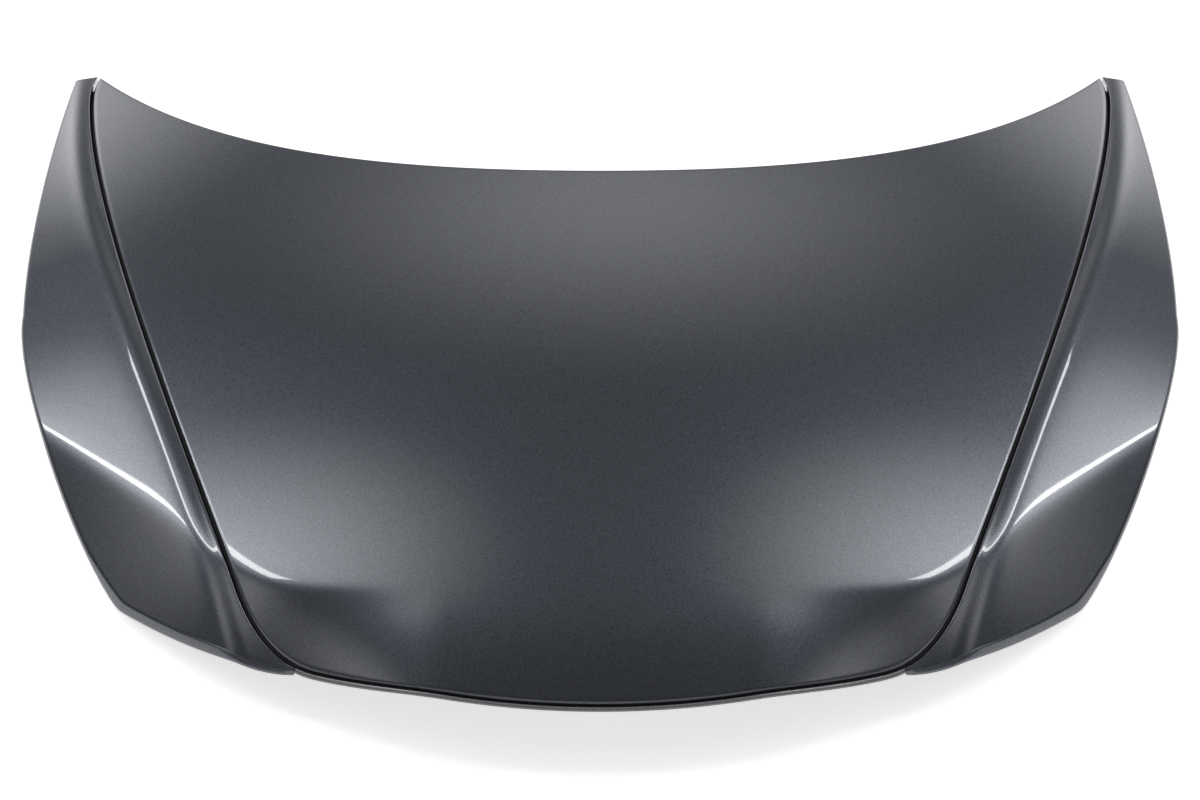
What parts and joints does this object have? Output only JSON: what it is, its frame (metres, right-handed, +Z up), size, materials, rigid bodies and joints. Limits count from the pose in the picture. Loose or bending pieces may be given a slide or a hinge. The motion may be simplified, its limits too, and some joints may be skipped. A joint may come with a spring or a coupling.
{
  "type": "car bonnet",
  "caption": "Curved car bonnet in three painted sheet sections on one carrier, with an inner frame, joint seal, front strip, hinge plates and latch loop.",
  "frame": {"origin": "centre of the bounding box in plan, at its lowest level", "axes": "+X across the car, -Y towards the front edge, +Z up"},
  "size_m": [1.741, 1.2848, 0.1843],
  "materials": {
    "paint": "dark grey metallic with clear coat",
    "undercoat": "thin dark grey satin coat",
    "rubber": "black rubber",
    "strip": "satin grey",
    "zinc_steel": "zinc plated steel"
  },
  "bodies": {
    "root": {"carrier_frame": "undercoat", "centre_bolt_front_left": "zinc_steel", "centre_bolt_front_right": "zinc_steel", "centre_bolt_nose_left": "zinc_steel", "centre_bolt_nose_right": "zinc_steel", "centre_bolt_rear_left": "zinc_steel", "centre_bolt_rear_right": "zinc_steel", "centre_inner_frame": "undercoat", "centre_skin": "paint", "front_strip": "strip", "joint_seal": "rubber", "left_buffer_front": "rubber", "left_buffer_rear": "rubber", "left_hinge_bolt_inner": "zinc_steel", "left_hinge_bolt_outer": "zinc_steel", "left_hinge_plate": "zinc_steel", "left_side_bolt_1": "zinc_steel", "left_side_bolt_2": "zinc_steel", "left_side_bolt_3": "zinc_steel", "left_side_inner": "undercoat", "left_side_skin": "paint", "right_buffer_front": "rubber", "right_buffer_rear": "rubber", "right_hinge_bolt_inner": "zinc_steel", "right_hinge_bolt_outer": "zinc_steel", "right_hinge_plate": "zinc_steel", "right_side_bolt_1": "zinc_steel", "right_side_bolt_2": "zinc_steel", "right_side_bolt_3": "zinc_steel", "right_side_inner": "undercoat", "right_side_skin": "paint", "striker_bolt_left": "zinc_steel", "striker_bolt_right": "zinc_steel", "striker_loop": "zinc_steel", "striker_plate": "zinc_steel", "strip_screw_left": "zinc_steel", "strip_screw_middle": "zinc_steel", "strip_screw_right": "zinc_steel"}
  },
  "joints": []
}
